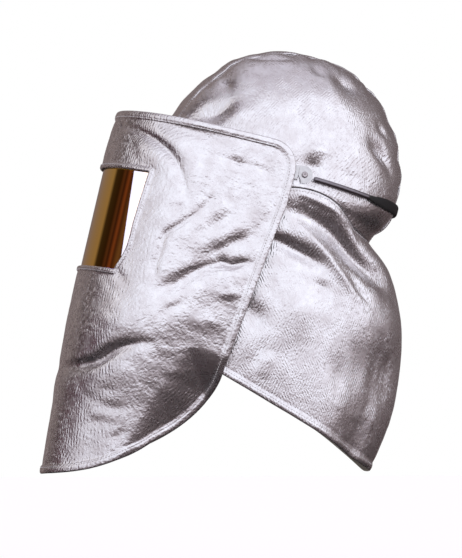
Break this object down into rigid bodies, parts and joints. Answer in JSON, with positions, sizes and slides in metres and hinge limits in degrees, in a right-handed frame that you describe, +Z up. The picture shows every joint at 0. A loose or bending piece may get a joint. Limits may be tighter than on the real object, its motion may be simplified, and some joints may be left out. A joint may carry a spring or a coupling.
{
  "type": "aluminized hood",
  "caption": "Aluminized heat hood: a sewn crown with a neck cape, and a hanging face mask with a gold visor on a light metal bracket.",
  "frame": {"origin": "the inside of the crown's top, where the helmet carries the hood", "axes": "+Z up, the face looks along -Y, and the wearer's left is +X"},
  "size_m": [0.2448, 0.416, 0.4845],
  "materials": {
    "aluminized_cloth": "crinkled aluminium film laminated to a woven cloth, softly mirroring",
    "gold_visor": "gold mirror coating on clear plastic",
    "bracket_metal": "bright, lightly brushed",
    "rod_metal": "dark grey, satin",
    "band_rubber": "matt black"
  },
  "bodies": {
    "root": {"crown_gusset": "aluminized_cloth", "crown_side_left": "aluminized_cloth", "crown_side_right": "aluminized_cloth", "neck_cape": "aluminized_cloth", "face_mask": "aluminized_cloth", "gold_visor": "gold_visor", "visor_frame": "bracket_metal", "ear_plate_left": "bracket_metal", "ear_plate_right": "bracket_metal", "rivet_left": "bracket_metal", "rivet_right": "bracket_metal", "bracket_rod_left": "rod_metal", "bracket_rod_right": "rod_metal", "rear_band": "band_rubber"}
  },
  "joints": []
}
